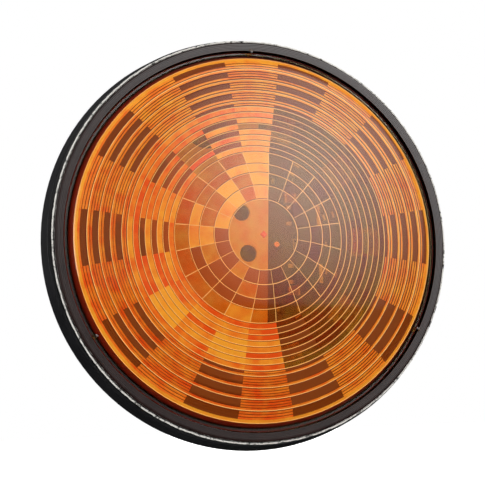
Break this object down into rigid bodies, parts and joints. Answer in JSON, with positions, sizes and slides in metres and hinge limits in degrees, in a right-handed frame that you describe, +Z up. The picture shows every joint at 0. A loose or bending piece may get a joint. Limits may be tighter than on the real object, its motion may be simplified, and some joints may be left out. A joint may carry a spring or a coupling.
{
  "type": "round LED marker and turn lamp",
  "caption": "Sealed round amber LED lamp with a domed ring-optic lens, black flanged housing and a keyed rear pin socket, for a truck or trailer.",
  "frame": {"origin": "on the lamp axis, in the plane of the flange's rear seat, at the front end of the barrel", "axes": "+Y along the lamp axis towards the rear plug socket, so the lens faces -Y; +Z up as fitted; +X to the right seen from the lens side"},
  "size_m": [0.1094, 0.0441, 0.1094],
  "materials": {
    "amber_polycarbonate": "moulded transparent amber, polished outside, prismed inside",
    "weld_flash_plastic": "ragged melted plastic squeezed out by welding",
    "black_abs": "moulded black, semi-gloss",
    "black_nylon": "moulded black nylon, satin",
    "epoxy_resin": "poured black resin",
    "glass_fibre_board": "dark solder mask, satin",
    "plated_steel": "bright zinc plated",
    "clear_epoxy": "water-clear cast epoxy",
    "tinned_copper": "tin plated, satin",
    "amber_diode": "semiconductor die",
    "solder": "solidified solder, bright",
    "white_polycarbonate": "moulded white, satin",
    "component_resin": "moulded black epoxy",
    "capacitor_ceramic": "fired ceramic, tan",
    "resistor_ceramic": "black glaze on ceramic",
    "brass_pin": "turned brass, bright"
  },
  "bodies": {
    "root": {"lens": "amber_polycarbonate", "weld_flash": "weld_flash_plastic", "housing": "black_abs", "plug_socket": "black_nylon", "potting_compound": "epoxy_resin", "led_board": "glass_fibre_board", "board_screws": "plated_steel", "led_bodies": "clear_epoxy", "led_lead_frames": "tinned_copper", "led_chips": "amber_diode", "led_solder_joints": "solder", "pin_solder_joints": "solder", "reflector_plate": "white_polycarbonate", "current_regulators": "component_resin", "surge_suppressor": "component_resin", "rectifier_diodes": "component_resin", "filter_capacitors": "capacitor_ceramic", "balance_resistors": "resistor_ceramic", "component_terminals": "tinned_copper", "ground_pin": "brass_pin", "marker_pin": "brass_pin", "turn_pin": "brass_pin"}
  },
  "joints": []
}
